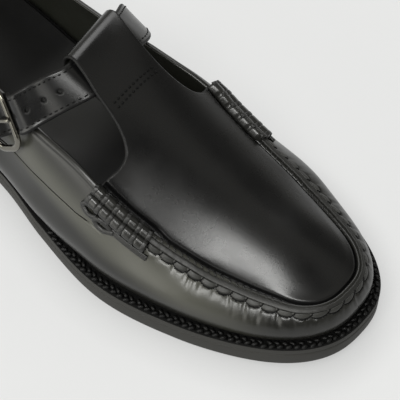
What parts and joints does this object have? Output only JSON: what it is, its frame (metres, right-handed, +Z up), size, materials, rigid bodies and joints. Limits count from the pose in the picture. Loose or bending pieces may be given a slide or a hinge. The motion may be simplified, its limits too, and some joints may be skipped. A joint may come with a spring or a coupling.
{
  "type": "t-bar loafer",
  "caption": "Right shoe with a hollow leather upper, moccasin seam, tab over a buckled instep strap, cut-outs beside it, welted sole and low block heel.",
  "frame": {"origin": "on the ground under the middle of the sole's length and breadth", "axes": "+X from heel to toe, +Y to the medial side, +Z up"},
  "size_m": [0.268, 0.0916, 0.0819],
  "materials": {
    "leather_black": "high-shine smooth leather",
    "sole_rubber": "matt moulded rubber",
    "welt_black": "satin",
    "foot_bed": "satin",
    "buckle_metal": "polished"
  },
  "bodies": {
    "root": {"outsole": "sole_rubber", "heel": "sole_rubber", "welt": "welt_black", "insole": "foot_bed", "upper": "leather_black", "beef_roll_lateral": "leather_black", "beef_roll_medial": "leather_black", "strap": "leather_black", "buckle_frame": "buckle_metal", "buckle_prong": "buckle_metal", "buckle_tab": "leather_black"}
  },
  "joints": []
}
